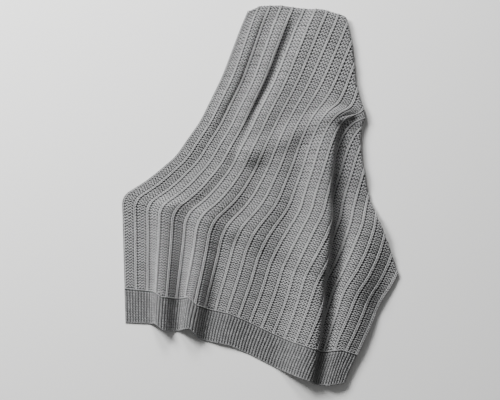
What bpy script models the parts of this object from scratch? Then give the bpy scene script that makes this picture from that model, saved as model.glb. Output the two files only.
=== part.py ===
"""A knitted throw laid out on a flat surface, in metres with +Z up.

The cloth is worked out flat first. Places on it are (across, along): across runs
from the left selvedge to the right one, along runs from the front hem to the far one.
The far end is then turned under along a straight crease and one side along a slanting
one, and the top layer is pushed together into folds.
"""

import math
from collections import namedtuple

import bmesh
import bpy
import numpy as np

# The flat cloth
WIDTH = 1.02
LENGTH = 1.52
REPEATS = 22
REPEAT = WIDTH / REPEATS
HEM = 0.110
HEM_RIBS_PER_REPEAT = 4
HEM_RIB = REPEAT / HEM_RIBS_PER_REPEAT
CLOTH = 0.003
RIB_RISE = 0.0020
BAND_RISE = 0.0012
HEM_RIB_RISE = 0.0018
SEAM_ROW = 0.005

# Layers that lie on each other, measured between their middles
LAYER = 0.006

# Length of cloth that goes round a crease: round one layer, and round three
END_TURN = math.pi * LAYER / 2
SIDE_TURN = 3 * END_TURN

# The far end is turned under first, then one side along the slanting crease
END_CREASE = 1.15
SIDE_START = np.array((WIDTH, 0.42))
SIDE_FINISH = np.array((0.39, END_CREASE))
END_MIDDLE = END_CREASE + END_TURN / 2
END_EDGE = 2 * END_CREASE - LENGTH

# How far an upper layer stays lifted past the edge of a lower one, and its slope down
LIFT_MARGIN = 0.09
LIFT_SLOPE = 0.06

# How far from the slanting crease the lower layer follows the folds of the top one,
# and the share of that reach that is lost past the start of the crease
FOLLOW = 0.12
FOLLOW_LOSS = 0.8

# Lie of the cloth: the left edge in plan, the heading of a row and its gathered width
Station = namedtuple("Station", "along x y heading gather")
STATIONS = (
    Station(-0.18, -0.426, -0.597, -14.5, 0.66),
    Station(0.000, -0.432, -0.417, -15.5, 0.70),
    Station(0.240, -0.442, -0.179, -16.7, 0.81),
    Station(0.405, -0.448, -0.013, -16.9, 0.87),
    Station(0.515, -0.358, 0.050, -15.5, 0.84),
    Station(0.620, -0.278, 0.119, -14.0, 0.76),
    Station(0.760, -0.198, 0.235, -12.5, 0.70),
    Station(0.925, -0.128, 0.384, -9.0, 0.745),
    Station(1.095, -0.070, 0.543, -4.0, 0.80),
    Station(1.150, -0.048, 0.596, -2.5, 0.80),
    Station(1.330, 0.025, 0.760, -2.5, 0.80),
)
EDGE_EASE = 0.025
FAR_EASE = 0.12
ROW_EASE = 0.05

# Wander of the two end lines off a straight row: distance along the row, rise in plan
FRONT_WANDER = (
    (0.000, 0.000),
    (0.080, 0.018),
    (0.097, 0.021),
    (0.124, 0.004),
    (0.212, 0.033),
    (0.239, 0.012),
    (0.345, 0.018),
    (0.407, 0.009),
    (0.477, -0.007),
    (0.566, -0.025),
    (0.620, -0.030),
    (0.663, -0.023),
    (0.716, 0.000),
)
FAR_WANDER = ((0.0, 0.0), (0.044, 0.022), (0.106, 0.027), (0.168, 0.021), (0.248, 0.017), (0.314, 0.0))
FRONT_WANDER_REACH = 0.40
FAR_WANDER_REACH = 0.27

# Place in plan where the cloth is drawn together, along a direction, by a share,
# and the place beside it where it bulges out
Pinch = namedtuple("Pinch", "x y direction reach share")
PINCH = Pinch(0.300, 0.250, 80.0, 0.135, 0.62)
Bulge = namedtuple("Bulge", "x y move reach")
BULGE = Bulge(0.320, 0.278, 0.026, 0.085)

# Folds that run along the cloth, with their crests and heights at these places along it
FOLD_STATIONS = (0.00, 0.22, 0.42, 0.65, 0.88, 1.15)
Fold = namedtuple("Fold", "name crest height left right")
FOLDS = (
    Fold(
        "edge crease",
        crest=(0.050, 0.050, 0.050, 0.055, 0.065, 0.070),
        height=(0.000, 0.000, 0.000, 0.003, 0.010, 0.008),
        left=0.055,
        right=0.032,
    ),
    Fold(
        "upper crease",
        crest=(0.190, 0.190, 0.190, 0.190, 0.175, 0.180),
        height=(0.000, 0.000, 0.000, 0.006, 0.016, 0.012),
        left=0.060,
        right=0.034,
    ),
    Fold(
        "left flute",
        crest=(0.165, 0.160, 0.150, 0.150, 0.160, 0.170),
        height=(0.040, 0.032, 0.014, 0.006, 0.000, 0.000),
        left=0.068,
        right=0.085,
    ),
    Fold(
        "second flute",
        crest=(0.320, 0.310, 0.290, 0.280, 0.280, 0.280),
        height=(0.044, 0.036, 0.018, 0.006, 0.010, 0.004),
        left=0.075,
        right=0.090,
    ),
    Fold(
        "front swell",
        crest=(0.490, 0.480, 0.460, 0.430, 0.390, 0.330),
        height=(0.006, 0.010, 0.014, 0.012, 0.006, 0.000),
        left=0.100,
        right=0.100,
    ),
    Fold(
        "long ridge",
        crest=(0.850, 0.782, 0.710, 0.625, 0.560, 0.400),
        height=(0.044, 0.052, 0.053, 0.047, 0.024, 0.000),
        left=0.160,
        right=0.072,
    ),
    Fold(
        "wing",
        crest=(0.965, 0.930, 0.870, 0.810, 0.700, 0.600),
        height=(0.018, 0.038, 0.048, 0.020, 0.000, 0.000),
        left=0.095,
        right=0.150,
    ),
)
FOLD_EASE = 0.07

# Short swells that run between two places on the cloth
Swell = namedtuple("Swell", "name start finish half_width height")
SWELLS = (
    Swell("bend at the left", (0.00, 0.415), (0.38, 0.38), 0.080, 0.012),
    Swell("band from the pinch", (0.57, 0.86), (0.27, 0.68), 0.070, 0.012),
    Swell("lower pinch", (0.625, 0.812), (0.735, 0.755), 0.022, 0.008),
    Swell("middle pinch", (0.625, 0.820), (0.705, 0.808), 0.018, 0.008),
    Swell("upper pinch", (0.603, 0.842), (0.632, 0.900), 0.018, 0.008),
)
SWELL_TAPER = 0.05

# Where the folds die out: before the straight crease, and beside the slanting one past its start
END_FADE = 0.06
SIDE_FADE = 0.10
SIDE_FADE_START = 0.54

# Rows of faces along the cloth, closer where it is drawn together
BODY_ROWS = (
    0.19, 0.27, 0.34, 0.40, 0.46, 0.53, 0.60, 0.66, 0.72,
    0.76, 0.79, 0.82, 0.85, 0.885, 0.94, 1.01, 1.08,
)
UNDER_ROWS = (1.25, 1.35, 1.43)
SIDE_TURN_STEPS = (0.0, 1 / 9, 2 / 9, 1 / 3, 1 / 2, 3 / 4, 1.0)
END_TURN_STEPS = (0.0, 1 / 3, 2 / 3, 1.0)
CREASE_MARGIN = 0.03

WOOL_GREY = (0.20, 0.20, 0.20, 1.0)
WOOL_ROUGHNESS = 0.9


def smooth(share):
    share = np.clip(share, 0.0, 1.0)
    return share * share * (3.0 - 2.0 * share)


def bell(share):
    return np.cos(np.clip(share, -1.0, 1.0) * math.pi / 2) ** 2


def eased(place, places, values, ease):
    """The line through a table's values with its corners rounded over the ease."""
    steps = np.linspace(-1.0, 1.0, 9)
    return sum(np.interp(place + step * ease, places, values) for step in steps) / len(steps)


def side_distance(across, along):
    """How far a place lies past the slanting crease, negative before it."""
    run = SIDE_FINISH - SIDE_START
    normal = np.array((run[1], -run[0])) / np.hypot(*run)
    distance = (across - SIDE_START[0]) * normal[0] + (along - SIDE_START[1]) * normal[1]
    return distance, normal


def side_crease(along):
    """Where the slanting crease, or else the selvedge, meets a row."""
    share = (along - SIDE_START[1]) / (SIDE_FINISH[1] - SIDE_START[1])
    return SIDE_START[0] + np.maximum(share, 0.0) * (SIDE_FINISH[0] - SIDE_START[0])


def turned(distance, radius, stack, depth):
    """Position past a crease and depth below the top layer, for cloth at a depth."""
    angle = np.clip(distance / radius, 0.0, math.pi)
    under = np.maximum(distance - math.pi * radius, 0.0)
    past = np.where(distance > 0.0, (radius - depth) * np.sin(angle) - under, distance)
    return past, stack / 2 - (stack / 2 - depth) * np.cos(angle)


def side_radius(distance, along, normal):
    """Radius of the slanting crease, which is wider where it wraps the turned end."""
    on_crease = along - distance * normal[1]
    start = END_EDGE - LIFT_MARGIN - LIFT_SLOPE
    return LAYER / 2 + LAYER * smooth((on_crease - start) / LIFT_SLOPE)


def turn_under(across, along):
    """Places on the flat cloth, moved to where both creases take them, with a depth."""
    past, depth = turned(along - END_CREASE, LAYER / 2, LAYER, 0.0)
    along = END_CREASE + past
    distance, normal = side_distance(across, along)
    radius = side_radius(distance, along, normal)
    past, depth = turned(distance, radius, 3 * LAYER, depth)
    return across + (past - distance) * normal[0], along + (past - distance) * normal[1], depth


def mirrored(place):
    """Where a place past the slanting crease lies once that side is turned under."""
    distance, normal = side_distance(*place)
    return np.asarray(place) - 2 * distance * normal


def lift_over(across, along, corners):
    """One over the area on the left of the line through the corners, sloping to nought."""
    outside = np.full(np.shape(across), -1.0)
    for first, second in zip(corners, corners[1:]):
        run = np.subtract(second, first)
        side = (across - first[0]) * run[1] - (along - first[1]) * run[0]
        outside = np.maximum(outside, side / np.hypot(*run))
    return smooth(1.0 - (outside - LIFT_MARGIN) / LIFT_SLOPE)


def long_folds(across, along):
    """Height of the folds that run along the cloth."""
    height = np.zeros(np.shape(across))
    for fold in FOLDS:
        offset = across - eased(along, FOLD_STATIONS, fold.crest, FOLD_EASE)
        width = np.where(offset < 0.0, fold.left, fold.right)
        height = height + eased(along, FOLD_STATIONS, fold.height, FOLD_EASE) * bell(offset / width)
    near_crease = 1.0 - smooth(-side_distance(across, along)[0] / SIDE_FADE)
    height = height * (1.0 - near_crease * smooth((along - SIDE_FADE_START) / SIDE_FADE))
    return height * smooth((END_CREASE - along) / END_FADE)


def swells(across, along):
    """Height of the short swells, which die out at both creases."""
    height = np.zeros(np.shape(across))
    for swell in SWELLS:
        start = np.array(swell.start)
        run = np.array(swell.finish) - start
        length = np.hypot(*run)
        reach = ((across - start[0]) * run[0] + (along - start[1]) * run[1]) / length
        side = ((across - start[0]) * run[1] - (along - start[1]) * run[0]) / length
        taper = smooth((reach + SWELL_TAPER) / SWELL_TAPER) * smooth((length + SWELL_TAPER - reach) / SWELL_TAPER)
        height = height + swell.height * taper * bell(side / swell.half_width)
    inside = smooth(-side_distance(across, along)[0] / SWELL_TAPER)
    return height * inside * smooth((END_CREASE - along) / END_FADE)


class RowLengths:
    """How far each place lies along its row once the folds have taken up their share."""

    STEP = 0.006

    def __init__(self):
        self.across = np.linspace(0.0, WIDTH, round(WIDTH / self.STEP) + 1)
        self.along = np.linspace(-0.03, END_CREASE + 0.06, 160)
        across, along = np.meshgrid(self.across, self.along)
        slope = np.gradient(long_folds(across, along), self.across, axis=1)
        run = np.sqrt(np.maximum(1.0 - slope**2, 0.1))
        step = self.across[1] - self.across[0]
        steps = (run[:, 1:] + run[:, :-1]) / 2 * step
        self.lengths = np.hstack((np.zeros((len(self.along), 1)), np.cumsum(steps, axis=1)))
        crease = side_crease(self.along)
        rows = range(len(self.along))
        full = np.array([np.interp(crease[row], self.across, self.lengths[row]) for row in rows])
        gather = eased(self.along, [s.along for s in STATIONS], [s.gather for s in STATIONS], ROW_EASE)
        self.lengths *= (gather * crease / full)[:, None]

    def at(self, across, along):
        column = np.clip(across / (self.across[1] - self.across[0]), 0, len(self.across) - 1.001)
        row = (along - self.along[0]) / (self.along[1] - self.along[0])
        row = np.clip(row, 0, len(self.along) - 1.001)
        c, r = column.astype(int), row.astype(int)
        s, t = column - c, row - r
        near = self.lengths[r, c] * (1 - s) + self.lengths[r, c + 1] * s
        far = self.lengths[r + 1, c] * (1 - s) + self.lengths[r + 1, c + 1] * s
        return near * (1 - t) + far * t


def drawn_together(x, y):
    """Places in plan, moved by the bulge and then to where the pinch draws them."""
    far = np.hypot(x - BULGE.x, y - BULGE.y) / BULGE.reach
    x = x + BULGE.move * np.exp(-far * far)
    direction = math.radians(PINCH.direction)
    run, rise = math.cos(direction), math.sin(direction)
    along = (x - PINCH.x) * run + (y - PINCH.y) * rise
    far = np.hypot(x - PINCH.x, y - PINCH.y) / PINCH.reach
    share = PINCH.share * np.exp(-far * far)
    return x - run * along * share, y - rise * along * share


def plan(across, along, lengths):
    """Where a place of the turned cloth lies in plan."""
    places = [s.along for s in STATIONS]
    ease = EDGE_EASE + (FAR_EASE - EDGE_EASE) * smooth(across / WIDTH)
    x = eased(along, places, [s.x for s in STATIONS], ease)
    y = eased(along, places, [s.y for s in STATIONS], ease)
    heading = np.radians(eased(along, places, [s.heading for s in STATIONS], ROW_EASE))
    reach = lengths.at(across, along)
    front = np.interp(reach, *zip(*FRONT_WANDER)) * (1 - smooth(along / FRONT_WANDER_REACH))
    far = np.interp(reach, *zip(*FAR_WANDER)) * smooth(1 - (END_CREASE - along) / FAR_WANDER_REACH)
    return drawn_together(x + reach * np.cos(heading), y + reach * np.sin(heading) + front + far)


def heights(across, along, depth):
    """Height of the cloth's middle, from the layers that lie under it."""
    corner = mirrored((WIDTH, END_CREASE))
    end_corner = mirrored((WIDTH, END_EDGE))
    end_on_crease = (side_crease(END_EDGE), END_EDGE)
    flap = lift_over(across, along, (SIDE_FINISH, corner, SIDE_START))
    turned_end = lift_over(across, along, (SIDE_FINISH, corner, end_corner, end_on_crease))
    end = lift_over(across, along, ((0.0, END_EDGE), (WIDTH, END_EDGE)))
    folds = long_folds(across, along)
    distance = side_distance(across, along)[0]
    follow = FOLLOW * (1.0 - FOLLOW_LOSS * smooth((along - SIDE_FADE_START) / SIDE_FADE))
    ground = CLOTH / 2 + folds * smooth(1 + distance / follow)
    above_end = CLOTH / 2 + LAYER * (flap + turned_end + end) + folds + swells(across, along)
    under_end = ground + LAYER * (flap + turned_end)
    over_flap = ground + LAYER
    past = distance > 0.0
    under_end = np.where(past, ground + (above_end - ground) * 2 / 3, under_end)
    over_flap = np.where(past, ground + (above_end - ground) / 3, over_flap)
    height = above_end
    levels = (above_end, under_end, over_flap, ground)
    for step in range(3):
        share = np.clip(depth / LAYER - step, 0.0, 1.0)
        height = height + (levels[step + 1] - levels[step]) * share
    return height


def laid(across, along, lengths):
    """Place in space of a place on the middle of the flat cloth."""
    across, along, depth = turn_under(across, along)
    x, y = plan(across, along, lengths)
    return np.stack((x, y, heights(across, along, depth)), axis=-1)


def rib_rise(across, along):
    """How far the ribs stand above the cloth's right side."""
    across = np.asarray(across)
    in_repeat = np.abs((across / REPEAT + 0.5) % 1.0 - 0.5) * REPEAT
    body = np.interp(in_repeat, (0.0, HEM_RIB / 2, REPEAT / 2), (RIB_RISE, 0.0, BAND_RISE))
    in_hem_rib = np.abs((across / HEM_RIB + 0.5) % 1.0 - 0.5) * HEM_RIB
    hem = np.interp(in_hem_rib, (0.0, HEM_RIB / 2), (HEM_RIB_RISE, 0.0))
    rise = np.where(along < HEM - SEAM_ROW / 2, hem, np.where(along > HEM + SEAM_ROW / 2, body, 0.0))
    shown = smooth((-side_distance(across, along)[0] - 0.004) / 0.012)
    return rise * shown * smooth((END_CREASE - along) / 0.012)


def cut_lines(mesh, places, direction, faces=None):
    """Cut the flat mesh along straight lines at the given distances in a direction."""
    for place in places:
        chosen = [face for face in mesh.faces if faces is None or faces(face)]
        parts = set(chosen)
        for face in chosen:
            parts.update(face.edges)
            parts.update(face.verts)
        point = np.array((*direction, 0.0)) * place
        bmesh.ops.bisect_plane(mesh, geom=list(parts), dist=1e-6, plane_co=point, plane_no=(*direction, 0.0))


def flat_cloth():
    """The cloth laid flat, cut into faces along its ribs, rows and creases."""
    mesh = bmesh.new()
    bmesh.ops.create_grid(mesh, x_segments=REPEATS, y_segments=1, size=0.5)
    bmesh.ops.scale(mesh, vec=(WIDTH, LENGTH, 1.0), verts=mesh.verts)
    bmesh.ops.translate(mesh, vec=(WIDTH / 2, LENGTH / 2, 0.0), verts=mesh.verts)
    for repeat in range(REPEATS):
        start = repeat * REPEAT
        cut_lines(mesh, (start + HEM_RIB / 2, start + REPEAT / 2, start + REPEAT - HEM_RIB / 2), (1.0, 0.0))
    end_turn = [END_CREASE + END_TURN * step for step in END_TURN_STEPS]
    hem_rows = (HEM / 2, HEM - SEAM_ROW, HEM + SEAM_ROW)
    cut_lines(mesh, (*hem_rows, *BODY_ROWS, *end_turn, *UNDER_ROWS), (0.0, 1.0))
    distance, normal = side_distance(0.0, 0.0)
    top_lines = [SIDE_TURN * step - distance for step in SIDE_TURN_STEPS]
    end_lines = [line - 2 * END_MIDDLE * normal[1] for line in top_lines]
    cut_lines(mesh, top_lines, normal, lambda face: face.calc_center_median().y < END_MIDDLE)
    cut_lines(mesh, end_lines, normal * (1, -1), lambda face: face.calc_center_median().y > END_MIDDLE)
    for half_rib in range(1, 2 * HEM_RIBS_PER_REPEAT * REPEATS):
        if half_rib % 8 not in (0, 1, 4, 7):
            place = half_rib * HEM_RIB / 2
            cut_lines(mesh, (place,), (1.0, 0.0), lambda face: face.calc_center_median().y < HEM - SEAM_ROW)
    widen_hidden_faces(mesh)
    data = bpy.data.meshes.new("flat_cloth")
    mesh.to_mesh(data)
    mesh.free()
    return data


def widen_hidden_faces(mesh):
    """Join the faces of the layers that are turned under, four by four across."""
    inner = []
    for edge in mesh.edges:
        first, second = (np.array(vert.co[:2]) for vert in edge.verts)
        middle = (first + second) / 2
        upright = abs(first[0] - second[0]) < 1e-6
        column = round(first[0] / REPEAT * 8)
        end_under = middle[1] > END_CREASE + END_TURN + 1e-4
        turned_along = END_MIDDLE - abs(middle[1] - END_MIDDLE)
        distance = side_distance(middle[0], turned_along)[0]
        hidden = distance > SIDE_TURN + 1e-4 or (end_under and distance < -CREASE_MARGIN)
        if len(edge.link_faces) == 2 and upright and hidden and column % 8:
            inner.append(edge)
    bmesh.ops.dissolve_edges(mesh, edges=inner, use_verts=True)


def thickened(data):
    """The flat cloth as a closed slab with its middle at height zero."""
    sheet = bpy.data.objects.new("flat_cloth", data)
    bpy.context.scene.collection.objects.link(sheet)
    solid = sheet.modifiers.new("thickness", "SOLIDIFY")
    solid.thickness = CLOTH
    solid.offset = 0.0
    bpy.context.view_layer.update()
    slab = bpy.data.meshes.new_from_object(sheet.evaluated_get(bpy.context.evaluated_depsgraph_get()))
    bpy.data.objects.remove(sheet)
    return slab


def lay_out(slab):
    """Move the slab's points from the flat cloth to the laid one."""
    flat = np.array([vert.co[:] for vert in slab.vertices], dtype=float)
    across, along = np.clip(flat[:, 0], 0, WIDTH), np.clip(flat[:, 1], 0, LENGTH)
    lengths = RowLengths()
    small = 0.0003
    middle = laid(across, along, lengths)
    right = laid(across + small, along, lengths) - laid(across - small, along, lengths)
    onward = laid(across, along + small, lengths) - laid(across, along - small, lengths)
    outward = np.cross(right, onward)
    outward /= np.linalg.norm(outward, axis=1)[:, None]
    offset = flat[:, 2] + np.where(flat[:, 2] > 0, rib_rise(across, along), 0.0)
    placed = middle + outward * offset[:, None]
    low, high = placed.min(axis=0), placed.max(axis=0)
    placed -= ((low[0] + high[0]) / 2, (low[1] + high[1]) / 2, low[2])
    for vert, place in zip(slab.vertices, placed):
        vert.co = place


def wool():
    material = bpy.data.materials.new("grey_yarn")
    material.use_nodes = True
    shader = material.node_tree.nodes["Principled BSDF"]
    shader.inputs["Base Color"].default_value = WOOL_GREY
    shader.inputs["Roughness"].default_value = WOOL_ROUGHNESS
    shader.inputs["Metallic"].default_value = 0.0
    return material


def build():
    for thing in list(bpy.data.objects):
        bpy.data.objects.remove(thing)
    collection = bpy.data.collections.new("blanket")
    bpy.context.scene.collection.children.link(collection)
    slab = thickened(flat_cloth())
    slab.name = "blanket"
    lay_out(slab)
    slab.materials.clear()
    slab.materials.append(wool())
    blanket = bpy.data.objects.new("blanket", slab)
    collection.objects.link(blanket)
    slab.shade_smooth()
    slab.set_sharp_from_angle(angle=math.radians(60))


build()
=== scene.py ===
import math

import bpy
import numpy as np
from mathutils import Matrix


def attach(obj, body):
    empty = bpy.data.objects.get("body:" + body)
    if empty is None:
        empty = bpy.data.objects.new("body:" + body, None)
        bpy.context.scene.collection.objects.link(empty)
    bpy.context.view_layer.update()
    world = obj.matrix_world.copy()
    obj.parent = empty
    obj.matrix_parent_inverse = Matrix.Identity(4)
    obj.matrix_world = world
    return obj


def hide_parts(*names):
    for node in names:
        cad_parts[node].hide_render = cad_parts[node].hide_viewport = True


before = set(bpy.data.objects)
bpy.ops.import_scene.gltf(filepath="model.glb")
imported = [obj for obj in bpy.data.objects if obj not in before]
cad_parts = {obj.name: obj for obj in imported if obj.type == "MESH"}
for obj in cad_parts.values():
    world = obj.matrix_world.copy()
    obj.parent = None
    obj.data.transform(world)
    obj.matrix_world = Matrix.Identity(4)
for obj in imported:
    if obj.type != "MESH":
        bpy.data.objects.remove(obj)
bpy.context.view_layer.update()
bpy.ops.object.select_all(action="DESELECT")
randomPicks = np.random.default_rng(12)

# Places on the flat cloth are (across, along): across from the left selvedge, along from the front hem
cloth = {
    "width": 1.02,
    "length": 1.52,
    "repeats": 22,            # from one smooth rib to the next
    "hem": 0.110,
    "hemRibs": 4,             # in each repeat
    "seamRow": 0.005,         # between the hem and the first row of the body
    "thickness": 0.003,
    "layer": 0.006,           # from the middle of one layer to the next
    "rowPitch": 0.0091,       # one row of stitches to the next
}
repeat = cloth["width"] / cloth["repeats"]
hemRib = repeat / cloth["hemRibs"]

turns = {
    "endCrease": 1.15,
    "sideStart": np.array((1.02, 0.42)),
    "sideFinish": np.array((0.39, 1.15)),
    "liftMargin": 0.09,       # an upper layer stays lifted this far past a lower one's edge
    "liftSlope": 0.06,
    "follow": 0.12,           # the lower layer follows the top one's folds this far in
    "followLoss": 0.8,
    "sideStitched": 0.7,      # how far round each crease the stitches are laid
    "endStitched": 0.85,
}
endTurn = math.pi * cloth["layer"] / 2
sideTurn = 3 * endTurn
endEdge = 2 * turns["endCrease"] - cloth["length"]

lie = {
    "along": (-0.18, 0.0, 0.24, 0.405, 0.515, 0.62, 0.76, 0.925, 1.095, 1.15, 1.33),
    "x": (-0.426, -0.432, -0.442, -0.448, -0.358, -0.278, -0.198, -0.128, -0.070, -0.048, 0.025),
    "y": (-0.597, -0.417, -0.179, -0.013, 0.050, 0.119, 0.235, 0.384, 0.543, 0.596, 0.760),
    "heading": (-14.5, -15.5, -16.7, -16.9, -15.5, -14.0, -12.5, -9.0, -4.0, -2.5, -2.5),
    # how wide the rows lie, as a share of their own width
    "gather": (0.66, 0.70, 0.81, 0.87, 0.84, 0.76, 0.70, 0.745, 0.80, 0.80, 0.80),
    "edgeEase": 0.025,
    "farEase": 0.12,
    "rowEase": 0.05,
    "frontAt": (
        0.0, 0.080, 0.097, 0.124, 0.212, 0.239, 0.345, 0.407, 0.477, 0.566, 0.620, 0.663, 0.716,
    ),
    "frontRise": (
        0.0, 0.018, 0.021, 0.004, 0.033, 0.012, 0.018, 0.009, -0.007, -0.025, -0.030, -0.023, 0.0,
    ),
    "frontReach": 0.40,
    "farAt": (0.0, 0.044, 0.106, 0.168, 0.248, 0.314),
    "farRise": (0.0, 0.022, 0.027, 0.021, 0.017, 0.0),
    "farReach": 0.27,
}

pinch = {                     # where the cloth is drawn together, in plan
    "place": (0.300, 0.250),
    "direction": 80.0,
    "reach": 0.135,
    "share": 0.62,
    "bulge": (0.320, 0.278),
    "bulgeMove": 0.026,
    "bulgeReach": 0.085,
}

folds = {
    "along": (0.00, 0.22, 0.42, 0.65, 0.88, 1.15),
    "ease": 0.07,
    "endFade": 0.06,
    "sideFade": 0.10,
    "sideFadeStart": 0.54,
    # name: crest's place across, height, half widths to the left and right
    "creases": {
        "edgeCrease": (
            (0.050, 0.050, 0.050, 0.055, 0.065, 0.070),
            (0.0, 0.0, 0.0, 0.003, 0.010, 0.008),
            0.055, 0.032,
        ),
        "upperCrease": (
            (0.190, 0.190, 0.190, 0.190, 0.175, 0.180),
            (0.0, 0.0, 0.0, 0.006, 0.016, 0.012),
            0.060, 0.034,
        ),
        "leftFlute": (
            (0.165, 0.160, 0.150, 0.150, 0.160, 0.170),
            (0.040, 0.032, 0.014, 0.006, 0.0, 0.0),
            0.068, 0.085,
        ),
        "secondFlute": (
            (0.320, 0.310, 0.290, 0.280, 0.280, 0.280),
            (0.044, 0.036, 0.018, 0.006, 0.010, 0.004),
            0.075, 0.090,
        ),
        "frontSwell": (
            (0.490, 0.480, 0.460, 0.430, 0.390, 0.330),
            (0.006, 0.010, 0.014, 0.012, 0.006, 0.0),
            0.100, 0.100,
        ),
        "longRidge": (
            (0.850, 0.782, 0.710, 0.625, 0.560, 0.400),
            (0.044, 0.052, 0.053, 0.047, 0.024, 0.0),
            0.160, 0.072,
        ),
        "wing": (
            (0.965, 0.930, 0.870, 0.810, 0.700, 0.600),
            (0.018, 0.038, 0.048, 0.020, 0.0, 0.0),
            0.095, 0.150,
        ),
    },
    # name: start, finish, half width, height
    "swells": {
        "bendAtTheLeft": ((0.00, 0.415), (0.38, 0.38), 0.080, 0.012),
        "bandFromThePinch": ((0.57, 0.86), (0.27, 0.68), 0.070, 0.012),
        "lowerPinch": ((0.625, 0.812), (0.735, 0.755), 0.022, 0.008),
        "middlePinch": ((0.625, 0.820), (0.705, 0.808), 0.018, 0.008),
        "upperPinch": ((0.603, 0.842), (0.632, 0.900), 0.018, 0.008),
    },
    "taper": 0.05,
}

grids = {                     # how finely the tables and the rows are worked out
    "easeSteps": 9,
    "tableStart": -0.3,
    "tableEnd": 1.7,
    "tableSize": 1600,
    "rowPlaces": 171,
    "rows": 160,
    "rowsStart": -0.03,
    "rowsPastCrease": 0.06,
    "leastRun": 0.1,
    "step": 0.0003,           # for the directions of the surface
}


def smoothStep(share):
    share = np.clip(share, 0.0, 1.0)
    return share * share * (3.0 - 2.0 * share)


def easedLine(place, places, values, ease):
    steps = np.linspace(-1.0, 1.0, grids["easeSteps"])
    return sum(np.interp(place + step * ease, places, values) for step in steps) / len(steps)


def easedTable(places, values, ease):
    fine = np.linspace(grids["tableStart"], grids["tableEnd"], grids["tableSize"])
    line = easedLine(fine, places, values, ease)
    return lambda place: np.interp(place, fine, line)


headingAt = easedTable(lie["along"], lie["heading"], lie["rowEase"])
gatherAt = easedTable(lie["along"], lie["gather"], lie["rowEase"])
foldLines = []
for crest, height, left, right in folds["creases"].values():
    crestAt, heightAt = [easedTable(folds["along"], values, folds["ease"]) for values in (crest, height)]
    foldLines.append((crestAt, heightAt, left, right))


def pastSide(across, along):
    run = turns["sideFinish"] - turns["sideStart"]
    normal = np.array((run[1], -run[0])) / np.hypot(*run)
    start = turns["sideStart"]
    return (across - start[0]) * normal[0] + (along - start[1]) * normal[1], normal


def sideCreaseAt(along):
    start, finish = turns["sideStart"], turns["sideFinish"]
    return start[0] + np.maximum((along - start[1]) / (finish[1] - start[1]), 0.0) * (finish[0] - start[0])


def turned(distance, radius, stack, depth):
    angle = np.clip(distance / radius, 0.0, math.pi)
    under = np.maximum(distance - math.pi * radius, 0.0)
    past = np.where(distance > 0.0, (radius - depth) * np.sin(angle) - under, distance)
    return past, stack / 2 - (stack / 2 - depth) * np.cos(angle)


def turnUnder(across, along):
    layer = cloth["layer"]
    past, depth = turned(along - turns["endCrease"], layer / 2, layer, 0.0)
    along = turns["endCrease"] + past
    distance, normal = pastSide(across, along)
    start = endEdge - turns["liftMargin"] - turns["liftSlope"]
    radius = layer / 2 + layer * smoothStep((along - distance * normal[1] - start) / turns["liftSlope"])
    past, depth = turned(distance, radius, 3 * layer, depth)
    return across + (past - distance) * normal[0], along + (past - distance) * normal[1], depth


def liftOver(across, along, corners):
    outside = np.full(np.shape(across), -1.0)
    for first, second in zip(corners, corners[1:]):
        run = np.subtract(second, first)
        beside = ((across - first[0]) * run[1] - (along - first[1]) * run[0]) / np.hypot(*run)
        outside = np.maximum(outside, beside)
    return smoothStep(1.0 - (outside - turns["liftMargin"]) / turns["liftSlope"])


def longFolds(across, along):
    height = np.zeros(np.shape(across))
    for crestAt, heightAt, left, right in foldLines:
        offset = across - crestAt(along)
        share = np.clip(offset / np.where(offset < 0.0, left, right), -1.0, 1.0)
        height = height + heightAt(along) * np.cos(share * math.pi / 2) ** 2
    nearCrease = 1.0 - smoothStep(-pastSide(across, along)[0] / folds["sideFade"])
    height = height * (1.0 - nearCrease * smoothStep((along - folds["sideFadeStart"]) / folds["sideFade"]))
    return height * smoothStep((turns["endCrease"] - along) / folds["endFade"])


def shortSwells(across, along):
    height = np.zeros(np.shape(across))
    taper = folds["taper"]
    for start, finish, halfWidth, rise in folds["swells"].values():
        run = np.subtract(finish, start)
        length = np.hypot(*run)
        reach = ((across - start[0]) * run[0] + (along - start[1]) * run[1]) / length
        side = ((across - start[0]) * run[1] - (along - start[1]) * run[0]) / length / halfWidth
        ends = smoothStep((reach + taper) / taper) * smoothStep((length + taper - reach) / taper)
        height = height + rise * ends * np.cos(np.clip(side, -1.0, 1.0) * math.pi / 2) ** 2
    inside = smoothStep(-pastSide(across, along)[0] / taper)
    return height * inside * smoothStep((turns["endCrease"] - along) / folds["endFade"])


def measureRows():            # how far along its row each place lies once the folds have taken their share
    across = np.linspace(0.0, cloth["width"], grids["rowPlaces"])
    along = np.linspace(grids["rowsStart"], turns["endCrease"] + grids["rowsPastCrease"], grids["rows"])
    acrossGrid, alongGrid = np.meshgrid(across, along)
    slope = np.gradient(longFolds(acrossGrid, alongGrid), across, axis=1)
    run = np.sqrt(np.maximum(1.0 - slope**2, grids["leastRun"]))
    steps = (run[:, 1:] + run[:, :-1]) / 2 * (across[1] - across[0])
    lengths = np.hstack((np.zeros((len(along), 1)), np.cumsum(steps, axis=1)))
    crease = sideCreaseAt(along)
    full = np.array([np.interp(crease[row], across, lengths[row]) for row in range(len(along))])
    return across, along, lengths * (gatherAt(along) * crease / full)[:, None]


rowsAcross, rowsAlong, rowLengths = measureRows()


def reachAt(across, along):
    column = np.clip(across / rowsAcross[1], 0, len(rowsAcross) - 1.001)
    row = np.clip((along - rowsAlong[0]) / (rowsAlong[1] - rowsAlong[0]), 0, len(rowsAlong) - 1.001)
    c, r = column.astype(int), row.astype(int)
    s, t = column - c, row - r
    near = rowLengths[r, c] * (1 - s) + rowLengths[r, c + 1] * s
    return near * (1 - t) + (rowLengths[r + 1, c] * (1 - s) + rowLengths[r + 1, c + 1] * s) * t


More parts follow.
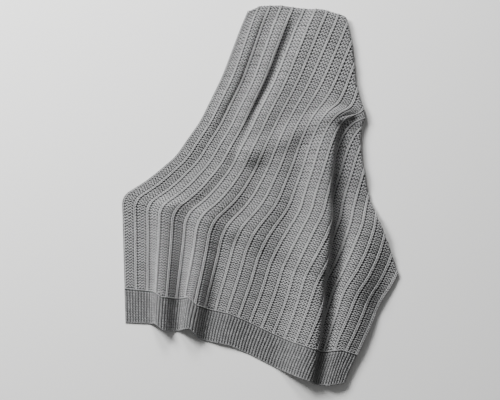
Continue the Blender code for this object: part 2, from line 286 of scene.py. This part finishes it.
def heightOf(across, along, depth):
    layer = cloth["layer"]
    mirrored = [np.array((cloth["width"], place)) for place in (turns["endCrease"], endEdge)]
    corner, endCorner = [place - 2 * pastSide(*place)[0] * pastSide(*place)[1] for place in mirrored]
    endOnCrease = (sideCreaseAt(endEdge), endEdge)
    flap = liftOver(across, along, (turns["sideFinish"], corner, turns["sideStart"]))
    turnedEnd = liftOver(across, along, (turns["sideFinish"], corner, endCorner, endOnCrease))
    end = liftOver(across, along, ((0.0, endEdge), (cloth["width"], endEdge)))
    rise = longFolds(across, along)
    distance = pastSide(across, along)[0]
    faded = smoothStep((along - folds["sideFadeStart"]) / folds["sideFade"])
    follow = turns["follow"] * (1.0 - turns["followLoss"] * faded)
    ground = cloth["thickness"] / 2 + rise * smoothStep(1 + distance / follow)
    top = cloth["thickness"] / 2 + layer * (flap + turnedEnd + end) + rise + shortSwells(across, along)
    past = distance > 0.0
    underEnd = np.where(past, ground + (top - ground) * 2 / 3, ground + layer * (flap + turnedEnd))
    overFlap = np.where(past, ground + (top - ground) / 3, ground + layer)
    levels = (top, underEnd, overFlap, ground)
    height = top
    for step in range(3):
        height = height + (levels[step + 1] - levels[step]) * np.clip(depth / layer - step, 0.0, 1.0)
    return height


def drawnTogether(x, y):
    angle = math.radians(pinch["direction"])
    bulge = np.hypot(x - pinch["bulge"][0], y - pinch["bulge"][1]) / pinch["bulgeReach"]
    x = x + pinch["bulgeMove"] * np.exp(-bulge * bulge)
    fromX, fromY = x - pinch["place"][0], y - pinch["place"][1]
    share = pinch["share"] * np.exp(-(fromX**2 + fromY**2) / pinch["reach"] ** 2)
    move = (fromX * math.cos(angle) + fromY * math.sin(angle)) * share
    return x - math.cos(angle) * move, y - math.sin(angle) * move


def laidMiddle(across, along):
    across, along, depth = turnUnder(across, along)
    ease = lie["edgeEase"] + (lie["farEase"] - lie["edgeEase"]) * smoothStep(across / cloth["width"])
    x = easedLine(along, lie["along"], lie["x"], ease)
    y = easedLine(along, lie["along"], lie["y"], ease)
    heading = np.radians(headingAt(along))
    reach = reachAt(across, along)
    front = np.interp(reach, lie["frontAt"], lie["frontRise"]) * (1 - smoothStep(along / lie["frontReach"]))
    farShare = smoothStep(1 - (turns["endCrease"] - along) / lie["farReach"])
    far = np.interp(reach, lie["farAt"], lie["farRise"]) * farShare
    x, y = drawnTogether(x + reach * np.cos(heading), y + reach * np.sin(heading) + front + far)
    return np.stack((x, y, heightOf(across, along, depth)), axis=-1)


shift = np.zeros(3)           # set once the ground sheet is laid


def layOut(flat):             # flat holds (across, along, height off the middle of the cloth)
    across, along = np.clip(flat[:, 0], 0, cloth["width"]), np.clip(flat[:, 1], 0, cloth["length"])
    small = grids["step"]
    right = laidMiddle(across + small, along) - laidMiddle(across - small, along)
    onward = laidMiddle(across, along + small) - laidMiddle(across, along - small)
    outward = np.cross(right, onward)
    outward /= np.linalg.norm(outward, axis=1)[:, None]
    return laidMiddle(across, along) + outward * flat[:, 2:3] - shift


class Wire:                   # a shader socket that can be used in sums
    def __init__(self, tree, end=None):
        self.tree = tree
        self.end = end

    def node(self, kind, settings, values, output=0):
        made = self.tree.nodes.new(kind)
        for name, value in settings.items():
            setattr(made, name, value)
        for place, value in values.items():
            if isinstance(value, Wire):
                self.tree.links.new(value.end, made.inputs[place])
            else:
                made.inputs[place].default_value = value
        return Wire(self.tree, made.outputs[output])

    def worked(self, operation, first, second):
        return self.node("ShaderNodeMath", {"operation": operation}, {0: first, 1: second})

    def __add__(self, other):
        return self.worked("ADD", self, other)

    def __radd__(self, other):
        return self.worked("ADD", other, self)

    def __sub__(self, other):
        return self.worked("SUBTRACT", self, other)

    def __rsub__(self, other):
        return self.worked("SUBTRACT", other, self)

    def __mul__(self, other):
        return self.worked("MULTIPLY", self, other)

    def __rmul__(self, other):
        return self.worked("MULTIPLY", other, self)

    def __truediv__(self, other):
        return self.worked("DIVIDE", self, other)

    def __rtruediv__(self, other):
        return self.worked("DIVIDE", other, self)


def newMaterial(name):
    material = bpy.data.materials.new(name)
    material.use_nodes = True
    shader = material.node_tree.nodes["Principled BSDF"]
    return material, shader, Wire(material.node_tree)


yarnLook = {
    "dark": (0.165, 0.166, 0.168, 1.0),
    "pale": (0.45, 0.451, 0.454, 1.0),
    "roughness": 0.86,
    "fibreSize": 900.0,
    "fleckSize": 260.0,
    "detail": 2.0,
    "bump": 0.00025,
    "sheen": 0.25,
    "sheenRoughness": 0.5,
    "specular": 0.2,
    "tintShare": 0.55,        # what makes a place pale
    "fleckShare": 0.5,
    "fibreShare": 0.35,
    "darker": 0.2,
    "roughnessChange": 0.12,
    "bumpStrength": 0.6,
}


def makeYarn():
    material, shader, wire = newMaterial("greyMelangeYarn")
    look = yarnLook
    place = wire.node("ShaderNodeTexCoord", {}, {}, "Object")
    noise = {"Vector": place, "Detail": look["detail"]}
    fleck = wire.node("ShaderNodeTexNoise", {}, {**noise, "Scale": look["fleckSize"]})
    fibre = wire.node("ShaderNodeTexNoise", {}, {**noise, "Scale": look["fibreSize"]})
    # tint is each stitch's own tone, and in the hem also painted shade
    tint = wire.node("ShaderNodeAttribute", {"attribute_name": "tint"}, {}, "Fac")
    share = tint * look["tintShare"] + fleck * look["fleckShare"] + fibre * look["fibreShare"]
    share = wire.node("ShaderNodeClamp", {}, {"Value": share - look["darker"]})
    mixed = {"Factor": share, "A": look["dark"], "B": look["pale"]}
    colour = wire.node("ShaderNodeMix", {"data_type": "RGBA"}, mixed, 2)
    raised = {"Height": fibre, "Strength": look["bumpStrength"], "Distance": look["bump"]}
    bump = wire.node("ShaderNodeBump", {}, raised)
    wire.tree.links.new(colour.end, shader.inputs["Base Color"])
    wire.tree.links.new(bump.end, shader.inputs["Normal"])
    roughness = fibre * look["roughnessChange"] + look["roughness"]
    wire.tree.links.new(roughness.end, shader.inputs["Roughness"])
    shader.inputs["Sheen Weight"].default_value = look["sheen"]
    shader.inputs["Sheen Roughness"].default_value = look["sheenRoughness"]
    shader.inputs["Specular IOR Level"].default_value = look["specular"]
    return material


# The ground sheet's colours are painted shade: dark for the gaps and holes between the stitches, darker in
# the troughs of the rows and waves, paler under the ribs and in the hem
groundShadeLook = {
    "dark": (0.025, 0.025, 0.026, 1.0),
    "pale": (0.12, 0.121, 0.123, 1.0),
    "roughness": 0.95,
    "specular": 0.1,
    "rowDepth": 0.0012,
    "bumpStrength": 0.8,
    "wave": 0.0105,           # length of the strand's wave across the band
    "waveDepth": 0.6,
    "ribEdge": 0.78,          # where the smooth rib starts, from the middle of the band to its own middle
    "ribSharp": 12.0,
    "ribHeight": 1.2,
    "arcHeight": 0.5,
    "fibreSize": 700.0,
    "detail": 2.0,
    "fibreHeight": 0.3,
    "base": 0.1,              # what makes the painted shade paler
    "arcShare": 0.3,
    "rowShare": 0.1,
    "fibreShare": 0.5,
    "ribShare": 0.3,
    # how much paler the painted shade is between the hem's ribs
    "hemShadeLift": 0.65,
}


# The ground sheet's material: its dark colours are painted shade between and under the stitches
def makeGroundShade():
    material, shader, wire = newMaterial("knitGapPaintedShade")
    look = groundShadeLook
    sine = {"operation": "SINE"}
    place = wire.node("ShaderNodeUVMap", {"uv_map": "flat"}, {})
    across = wire.node("ShaderNodeSeparateXYZ", {}, {0: place}, 0)
    along = wire.node("ShaderNodeSeparateXYZ", {}, {0: place}, 1)
    rows = wire.node("ShaderNodeMath", sine, {0: along * (2 * math.pi / cloth["rowPitch"])})
    waves = wire.node("ShaderNodeMath", sine, {0: across * (2 * math.pi / look["wave"])})
    slanted = along * (4 * math.pi / cloth["rowPitch"]) + waves * look["waveDepth"]
    arcs = wire.node("ShaderNodeMath", sine, {0: slanted})
    inRepeat = wire.node("ShaderNodeMath", {"operation": "FRACT"}, {0: across / repeat})
    ribs = wire.node("ShaderNodeMath", {"operation": "ABSOLUTE"}, {0: inRepeat - 0.5}) * 2.0
    inRib = wire.node("ShaderNodeClamp", {}, {"Value": (ribs - look["ribEdge"]) * look["ribSharp"]})
    inHem = wire.node("ShaderNodeMath", {"operation": "LESS_THAN"}, {0: along, 1: cloth["hem"]})
    noise = {"Vector": place, "Scale": look["fibreSize"], "Detail": look["detail"]}
    fibre = wire.node("ShaderNodeTexNoise", {}, noise)
    # painted shade, deepest in the troughs of the waves and rows
    share = arcs * look["arcShare"] + rows * look["rowShare"] + fibre * look["fibreShare"]
    share = share + look["base"] + inRib * look["ribShare"] + inHem * look["hemShadeLift"]
    share = wire.node("ShaderNodeClamp", {}, {"Value": share})
    mixed = {"Factor": share, "A": look["dark"], "B": look["pale"]}
    colour = wire.node("ShaderNodeMix", {"data_type": "RGBA"}, mixed, 2)
    height = arcs * (1.0 - inRib) * look["arcHeight"] + inRib * look["ribHeight"]
    height = height + fibre * look["fibreHeight"]
    raised = {"Height": height, "Strength": look["bumpStrength"], "Distance": look["rowDepth"]}
    bump = wire.node("ShaderNodeBump", {}, raised)
    wire.tree.links.new(colour.end, shader.inputs["Base Color"])
    wire.tree.links.new(bump.end, shader.inputs["Normal"])
    shader.inputs["Roughness"].default_value = look["roughness"]
    shader.inputs["Specular IOR Level"].default_value = look["specular"]
    return material


def fillMesh(name, placed, corners, starts, material, flatAtCorners, tints=None):
    mesh = bpy.data.meshes.new(name)
    mesh.vertices.add(len(placed))
    mesh.vertices.foreach_set("co", placed.ravel())
    mesh.loops.add(len(corners))
    mesh.loops.foreach_set("vertex_index", corners)
    mesh.polygons.add(len(starts))
    mesh.polygons.foreach_set("loop_start", starts)
    mesh.update(calc_edges=True)
    mesh.validate()
    mesh.shade_smooth()
    flatMap = mesh.uv_layers.new(name="flat")
    flatMap.uv.foreach_set("vector", flatAtCorners.ravel())
    if tints is not None:
        mesh.attributes.new("tint", "FLOAT", "POINT").data.foreach_set("value", tints)
    mesh.materials.append(material)
    piece = bpy.data.objects.new(name, mesh)
    bpy.context.scene.collection.objects.link(piece)
    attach(piece, "root")
    print(f"{name}: {sum(len(face.vertices) - 2 for face in mesh.polygons)} triangles")
    return piece


def takeMesh(shape):          # the points and faces of a modelled stitch, which is then put away
    mesh = shape.data
    points = np.empty(len(mesh.vertices) * 3)
    mesh.vertices.foreach_get("co", points)
    corners = np.empty(len(mesh.loops), dtype=np.int32)
    mesh.loops.foreach_get("vertex_index", corners)
    starts = np.empty(len(mesh.polygons), dtype=np.int32)
    mesh.polygons.foreach_get("loop_start", starts)
    bpy.data.objects.remove(shape)
    return points.reshape(-1, 3), corners, starts


groundSheet = {
    "columns": 8,             # of faces in each repeat
    "rowStep": 0.010,
    "top": 0.0002,            # its upper face, off the middle of the cloth
    "bottom": -0.0015,
    "creaseSteps": 10,
}


def makeGroundSheet():
    settings = groundSheet
    columns = cloth["repeats"] * settings["columns"]
    rows = round(cloth["length"] / settings["rowStep"])
    bpy.ops.mesh.primitive_grid_add(
        x_subdivisions=columns, y_subdivisions=rows, size=1.0, location=(0.5, 0.5, 0.0)
    )
    sheet = bpy.context.object
    bpy.ops.object.transform_apply(location=True, rotation=True, scale=True)
    bpy.ops.object.mode_set(mode="EDIT")
    bpy.ops.transform.resize(value=(cloth["width"], cloth["length"], 1.0), center_override=(0.0, 0.0, 0.0))
    share = [step / settings["creaseSteps"] for step in range(settings["creaseSteps"] + 1)]
    for step in share:
        bpy.ops.mesh.select_all(action="SELECT")
        spot = (0.0, turns["endCrease"] + endTurn * step, 0.0)
        bpy.ops.mesh.bisect(plane_co=spot, plane_no=(0.0, 1.0, 0.0))
    start, normal = turns["sideStart"], pastSide(0.0, 0.0)[1]
    middle = turns["endCrease"] + endTurn / 2
    for step in share:
        place = start + normal * sideTurn * step
        for side in (1, -1):  # the turned end carries the same lines mirrored
            bpy.ops.mesh.select_all(action="DESELECT")
            bpy.ops.object.mode_set(mode="OBJECT")
            for face in sheet.data.polygons:
                face.select = (face.center[1] - middle) * side < 0.0
            bpy.ops.object.mode_set(mode="EDIT")
            spot = (place[0], place[1] if side > 0 else 2 * middle - place[1], 0.0)
            bpy.ops.mesh.bisect(plane_co=spot, plane_no=(normal[0], normal[1] * side, 0.0))
    bpy.ops.object.mode_set(mode="OBJECT")
    thickness = sheet.modifiers.new("thickness", "SOLIDIFY")
    thickness.thickness = settings["top"] - settings["bottom"]
    thickness.offset = 0.0
    bpy.ops.object.modifier_apply(modifier="thickness")
    return takeMesh(sheet)


# The ground sheet under the stitches carries the painted-shade material
def layGroundSheet(material):
    flat, corners, starts = makeGroundSheet()
    flat[:, 2] += (groundSheet["top"] + groundSheet["bottom"]) / 2
    placed = layOut(flat)
    low, high = placed.min(axis=0), placed.max(axis=0)
    shift[:] = ((low[0] + high[0]) / 2, (low[1] + high[1]) / 2, low[2])
    return fillMesh("ground", placed - shift, corners, starts, material, flat[corners, :2])


def keptRows(places):         # what lies on the top layer or round the first part of a crease
    past = pastSide(places[:, 0], places[:, 1])[0]
    beforeEnd = places[:, 1] < turns["endCrease"] + turns["endStitched"] * endTurn
    return places[(past < turns["sideStitched"] * sideTurn) & beforeEnd]


clearOfFloor = 0.0002


# Each group: a stitch, its places, and for each copy a turn, a size and a shade
def knitStitches(name, groups, material):
    flats, cornerLists, startLists, tintLists = [], [], [], []
    points = corners = 0
    for (base, baseCorners, baseStarts), places, turn, size, tint in groups:
        count = len(places)
        across, along, height = [base[None, :, axis] * size[:, None] for axis in range(3)]
        cosine, sine = np.cos(turn)[:, None], np.sin(turn)[:, None]
        flat = np.stack((across * cosine - along * sine, across * sine + along * cosine, height), axis=-1)
        flat += places[:, None, :]
        copies = np.arange(count)[:, None]
        flats.append(flat.reshape(-1, 3))
        cornerLists.append((baseCorners[None] + points + copies * len(base)).ravel())
        startLists.append((baseStarts[None] + corners + copies * len(baseCorners)).ravel())
        tintLists.append(np.repeat(tint, len(base)))
        points += count * len(base)
        corners += count * len(baseCorners)
    lists = (flats, cornerLists, startLists, tintLists)
    flat, corners, starts, tints = [np.concatenate(parts) for parts in lists]
    placed = layOut(flat)
    placed[:, 2] = np.maximum(placed[:, 2], clearOfFloor)
    return fillMesh(name, placed, corners, starts, material, flat[corners, :2], tints)


uneven = {                    # each stitch is a little out of line, as knitting is
    "place": np.array((0.00022, 0.00022, 0.00012)),
    "turn": 0.05,
    "size": 0.04,
}


def scattered(places, spread):
    count = len(places)
    places = places + randomPicks.normal(0.0, 1.0, (count, 3)) * uneven["place"] * spread
    turn = randomPicks.normal(0.0, uneven["turn"], count) * spread
    return places, turn, 1.0 + randomPicks.normal(0.0, uneven["size"], count) * spread


bandStitch = {
    "start": 0.0042,          # from the middle of the smooth rib, where the strand comes out
    "bandStart": 0.0115,      # the holes lie between these two
    "bandEnd": 0.0370,
    "swings": 4,              # half waves of the strand
    "swing": 0.0034,
    "endSwing": 0.0035,
    "radius": 0.0022,
    "endRadius": 0.0025,
    "thinRadius": 0.0009,
    "height": 0.0010,
    "flat": 0.72,             # the strand's height as a share of its width
    "endReach": 1.2,          # half waves over which each end grows to its full size
    "leadIn": (-0.0025, -0.0020, 0.0003),       # off the band's start
    "leadOut": (0.0022, 0.0016, 0.0003),        # off the band's end
    "spread": 1.0,
    "turnShare": 0.15,
    "tints": (0.35, 0.85),
}


def makeBandStrand():
    settings = bandStitch
    places, radii = [], []
    steps = settings["swings"] * 2
    for step in range(steps + 1):
        share = step / steps
        nearest = min(share, 1.0 - share)
        atEnd = max(1.0 - nearest * settings["swings"] / settings["endReach"], 0.0)
        swing = settings["swing"] + (settings["endSwing"] - settings["swing"]) * atEnd
        across = settings["bandStart"] + (settings["bandEnd"] - settings["bandStart"]) * share
        places.append((across, -swing * math.cos(math.pi * step / 2), settings["height"]))
        radii.append(settings["radius"] + (settings["endRadius"] - settings["radius"]) * atEnd)
    leadIn, leadOut = settings["leadIn"], settings["leadOut"]
    places = [(settings["start"], 0.0, 0.0), (settings["bandStart"] + leadIn[0], *leadIn[1:])] + places
    places += [(settings["bandEnd"] + leadOut[0], *leadOut[1:]), (repeat - settings["start"], 0.0, 0.0)]
    radii = [settings["thinRadius"]] * 2 + radii + [settings["thinRadius"]] * 2
    return makeStrand(places, radii, settings["flat"])


def makeStrand(places, radii, flatness):
    curve = bpy.data.curves.new("strand", "CURVE")
    curve.dimensions = "3D"
    curve.bevel_depth = 1.0
    curve.bevel_resolution = 1
    curve.use_fill_caps = True
    line = curve.splines.new("POLY")
    line.points.add(len(places) - 1)
    for point, place, radius in zip(line.points, places, radii):
        point.co = (place[0], place[1], place[2] / flatness, 1.0)
        point.radius = radius
    strand = bpy.data.objects.new("strand", curve)
    bpy.context.scene.collection.objects.link(strand)
    bpy.context.view_layer.objects.active = strand
    strand.select_set(True)
    bpy.ops.object.convert(target="MESH")
    strand = bpy.context.object
    strand.scale = (1.0, 1.0, flatness)
    bpy.ops.object.transform_apply(location=True, rotation=True, scale=True)
    bpy.ops.object.mode_set(mode="EDIT")
    bpy.ops.mesh.select_all(action="SELECT")
    bpy.ops.mesh.remove_doubles(threshold=1e-6)
    bpy.ops.mesh.normals_make_consistent(inside=False)
    bpy.ops.object.mode_set(mode="OBJECT")
    return takeMesh(strand)


def makeGrain(length, width, height):       # one leg of a stitch, lying along the cloth
    bpy.ops.mesh.primitive_uv_sphere_add(
        segments=6, ring_count=5, radius=0.5, rotation=(math.pi / 2, 0.0, 0.0)
    )
    grain = bpy.context.object
    bpy.ops.object.transform_apply(location=True, rotation=True, scale=True)
    grain.scale = (width, length, height)
    bpy.ops.object.transform_apply(location=True, rotation=True, scale=True)
    return takeMesh(grain)


def bodyRows(start):
    first = cloth["hem"] + cloth["seamRow"] + start
    return np.arange(first, turns["endCrease"] + endTurn, cloth["rowPitch"])


def gridOf(columns, rows, height):
    return np.array([(column, row, height) for column in columns for row in rows])


def layBands(material):
    settings = bandStitch
    strand = makeBandStrand()
    rows = bodyRows(cloth["rowPitch"] / 2)
    pieces = []
    for name, first, last in (("leftBands", 0, 7), ("middleBands", 7, 14), ("rightBands", 14, 22)):
        places = keptRows(gridOf([column * repeat for column in range(first, last)], rows, 0.0))
        places, turn = scattered(places, settings["spread"])[:2]
        tint = randomPicks.uniform(*settings["tints"], len(places))
        groups = [(strand, places, turn * settings["turnShare"], np.ones(len(places)), tint)]
        pieces.append(knitStitches(name, groups, material))
    return pieces


ribStitch = {
    "legLength": 0.0120,
    "legWidth": 0.0052,
    "legHeight": 0.0038,
    "legPlace": 0.0025,       # from the middle of the rib
    "legHeightAt": 0.0017,
    "slant": 0.34,
    "edgePlace": 0.0045,      # the middle of the first and last rib, from the cloth's edge
    "spread": 0.7,
    "tints": (0.5, 0.95),
}


def layRibs(material):
    settings = ribStitch
    grain = makeGrain(settings["legLength"], settings["legWidth"], settings["legHeight"])
    rows = bodyRows(0.0)
    edge = settings["edgePlace"]
    pieces = []
    for name, first, last in (("leftRibs", 0, 11), ("rightRibs", 11, 23)):
        middles = [min(max(rib * repeat, edge), cloth["width"] - edge) for rib in range(first, last)]
        groups = []
        for side in (-1, 1):
            legs = [middle + side * settings["legPlace"] for middle in middles]
            places = keptRows(gridOf(legs, rows, settings["legHeightAt"]))
            places, turn, size = scattered(places, settings["spread"])
            tint = randomPicks.uniform(*settings["tints"], len(places))
            groups.append((grain, places, turn - side * settings["slant"], size, tint))
        pieces.append(knitStitches(name, groups, material))
    return pieces


hemStitch = {
    "rowPitch": 0.0086,
    "firstRow": 0.0060,
    "lastRowGap": 0.003,      # from the last row to the body
    "seamAt": 0.001,          # past the hem
    "edgeAt": 0.0022,
    "edgeStart": 0.003,
    "edgePitch": 0.0058,
    # name: length, width and height, height off the cloth, slant, unevenness, darkest and palest tint; the
    # legs' and edge's tints are set low, painted shade that makes the hem darker
    "leg": ((0.0130, 0.0074, 0.0038), 0.0010, 0.66, 0.8, (-0.7, 0.0)),
    "seam": ((0.0056, 0.0056, 0.0044), 0.0018, 0.0, 0.8, (0.6, 1.0)),
    "edge": ((0.0070, 0.0050, 0.0040), 0.0006, math.pi / 2 - 0.3, 0.6, (-0.4, 0.2)),
}


def layHem(material):
    settings = hemStitch
    ribs = np.arange(cloth["repeats"] * cloth["hemRibs"]) * hemRib + hemRib / 2
    rows = np.arange(settings["firstRow"], cloth["hem"] - settings["lastRowGap"], settings["rowPitch"])
    halves = [rib + offset for rib in ribs for offset in (-hemRib / 4, hemRib / 4)]
    castOn = np.arange(settings["edgeStart"], cloth["width"], settings["edgePitch"])
    groups = []
    for kind, columns, alongs in (
        ("leg", ribs, rows),
        ("seam", halves, [cloth["hem"] + settings["seamAt"]]),
        ("edge", castOn, [settings["edgeAt"]]),
    ):
        measures, heightAt, slant, spread, tints = settings[kind]
        places, turn, size = scattered(gridOf(columns, alongs, heightAt), spread)
        # the spread of each range is the yarn's own tone; the low ranges of the legs and edge are painted
        # shade
        tint = randomPicks.uniform(*tints, len(places))
        groups.append((makeGrain(*measures), places, turn + slant, size, tint))
    return knitStitches("hem", groups, material)


yarn = makeYarn()
groundShadeMaterial = makeGroundShade()
ground = layGroundSheet(groundShadeMaterial)
bands = layBands(yarn)
ribs = layRibs(yarn)
hem = layHem(yarn)
for piece in (ground, *bands, *ribs, hem):
    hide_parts("blanket")
print("the cloth is laid")


studio = {
    "floorSize": 14.0,
    "floorAt": -0.0003,
    "floorColour": (0.90, 0.90, 0.89, 1.0),
    "floorRoughness": 0.9,
    "viewWidth": 1.6,         # what the camera sees across, at the cloth
    "sensor": 36.0,
    "distance": 6.0,
    "elevation": 80.0,
    "aimAt": (-0.038, -0.022),
    "farthest": 100.0,
    "worldStrength": 0.14,
    # name: place, size, power
    "lights": {
        "keyLight": ((-2.7, 2.4, 2.4), 1.5, 350.0),
        "farLight": ((-0.9, 3.4, 2.2), 1.3, 150.0),
        "fillLight": ((-0.8, -3.0, 3.6), 3.0, 6.0),
    },
}


def makeStudio():
    settings = studio
    bpy.ops.mesh.primitive_plane_add(size=settings["floorSize"], location=(0.0, 0.0, settings["floorAt"]))
    floor = bpy.context.object
    floor.name = "floor"
    bpy.ops.object.transform_apply(location=True, rotation=True, scale=True)
    material, shader = newMaterial("paleFloor")[:2]
    shader.inputs["Base Color"].default_value = settings["floorColour"]
    shader.inputs["Roughness"].default_value = settings["floorRoughness"]
    floor.data.materials.append(material)

    target = np.array((settings["aimAt"][0] - shift[0], settings["aimAt"][1] - shift[1], 0.0))
    angle = math.radians(settings["elevation"])
    eye = target + settings["distance"] * np.array((0.0, -math.cos(angle), math.sin(angle)))
    bpy.ops.object.camera_add(location=eye, rotation=(math.pi / 2 - angle, 0.0, 0.0))
    camera = bpy.context.object
    camera.data.sensor_width = settings["sensor"]
    camera.data.lens = settings["sensor"] * settings["distance"] / settings["viewWidth"]
    camera.data.clip_end = settings["farthest"]
    bpy.context.scene.camera = camera

    for name, (spot, size, power) in settings["lights"].items():
        bpy.ops.object.light_add(type="AREA", location=spot)
        light = bpy.context.object
        light.name = name
        light.data.size = size
        light.data.energy = power
        lean = math.acos(spot[2] / np.linalg.norm(spot))
        light.rotation_euler = (lean, 0.0, math.atan2(spot[1], spot[0]) + math.pi / 2)

    world = bpy.data.worlds.new("studioAir")
    world.use_nodes = True
    air = world.node_tree.nodes["Background"]
    air.inputs["Color"].default_value = (1.0, 1.0, 1.0, 1.0)
    air.inputs["Strength"].default_value = settings["worldStrength"]
    bpy.context.scene.world = world


makeStudio()
print("the studio is set up")
